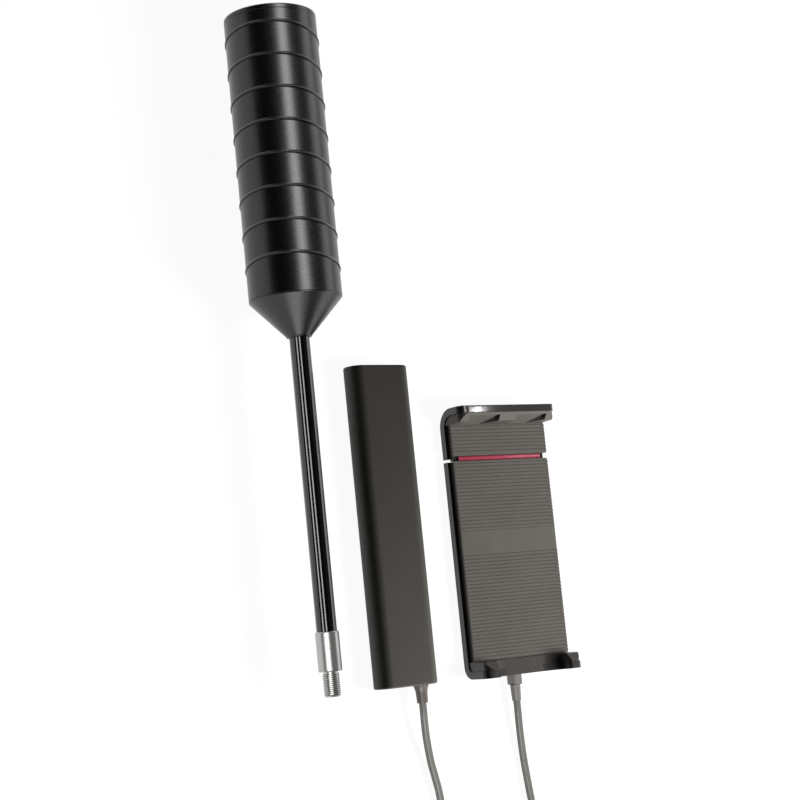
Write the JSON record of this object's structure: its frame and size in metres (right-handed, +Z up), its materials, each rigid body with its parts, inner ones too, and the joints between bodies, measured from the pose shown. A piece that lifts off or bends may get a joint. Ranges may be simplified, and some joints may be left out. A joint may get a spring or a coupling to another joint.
{
  "type": "cellular signal booster",
  "caption": "Vehicle cellular signal booster: roof antenna on a mast, flat booster bar, and a spring-loaded phone cradle joined to the bar by a cord.",
  "frame": {"origin": "middle of the row of units at table level, cord left out", "axes": "+X across the row from the antenna to the cradle, +Y along the units towards the antenna's top, +Z up from the table, out of the cradle's face"},
  "size_m": [0.2132, 0.5555, 0.0558],
  "materials": {
    "radome_plastic": "satin",
    "mast_enamel": "gloss",
    "nickel": "polished",
    "steel": "bright",
    "brass": "plain",
    "white_plastic": "matte",
    "booster_coat": "matte",
    "cap_plastic": "matte",
    "circuit_board": "satin",
    "thermal_pad": "matte",
    "cord_rubber": "matte",
    "shell_plastic": "satin",
    "slide_plastic": "satin",
    "grip_rubber": "matte",
    "red_plastic": "gloss",
    "tie_strap": "matte"
  },
  "bodies": {
    "units": {"radome": "radome_plastic", "radome_cap": "radome_plastic", "radome_cone": "radome_plastic", "upper_radiator": "brass", "lower_radiator": "brass", "radiator_spacers": "white_plastic", "feed_coax": "cord_rubber", "mast": "mast_enamel", "ferrule": "nickel", "stud": "steel", "booster_sleeve": "booster_coat", "upper_end_cap": "cap_plastic", "lower_end_cap": "cap_plastic", "end_cap_screws": "steel", "main_board": "circuit_board", "shield_cans": "steel", "thermal_pads": "thermal_pad", "antenna_jack": "brass", "power_inlet": "steel", "strain_relief": "cord_rubber", "cradle_shell": "shell_plastic", "cradle_chassis": "slide_plastic", "lower_grip": "grip_rubber", "lower_lip_liner": "grip_rubber", "inner_antenna_board": "circuit_board", "coax_socket": "brass", "mount_inserts": "brass", "shell_screws": "steel", "spring_pins": "steel", "return_springs": "steel", "plug": "cord_rubber", "plug_boot": "cord_rubber", "booster_cord_run": "cord_rubber", "cradle_cord_run": "cord_rubber", "cord_coil": "cord_rubber", "coil_tie": "tie_strap"},
    "jaw": {"jaw_shell": "shell_plastic", "jaw_grip": "grip_rubber", "jaw_lip_liner": "grip_rubber", "slide_plate": "slide_plastic", "accent_strip": "red_plastic", "jaw_screws": "steel"}
  },
  "joints": [
    {"name": "jaw_slide", "type": "slide", "parent": "units", "child": "jaw", "axis": [0, 1, 0], "range_m": [0, 0.042], "stiffness_N_per_m": 150, "springref_m": -0.02, "deforming": ["return_springs"]}
  ]
}
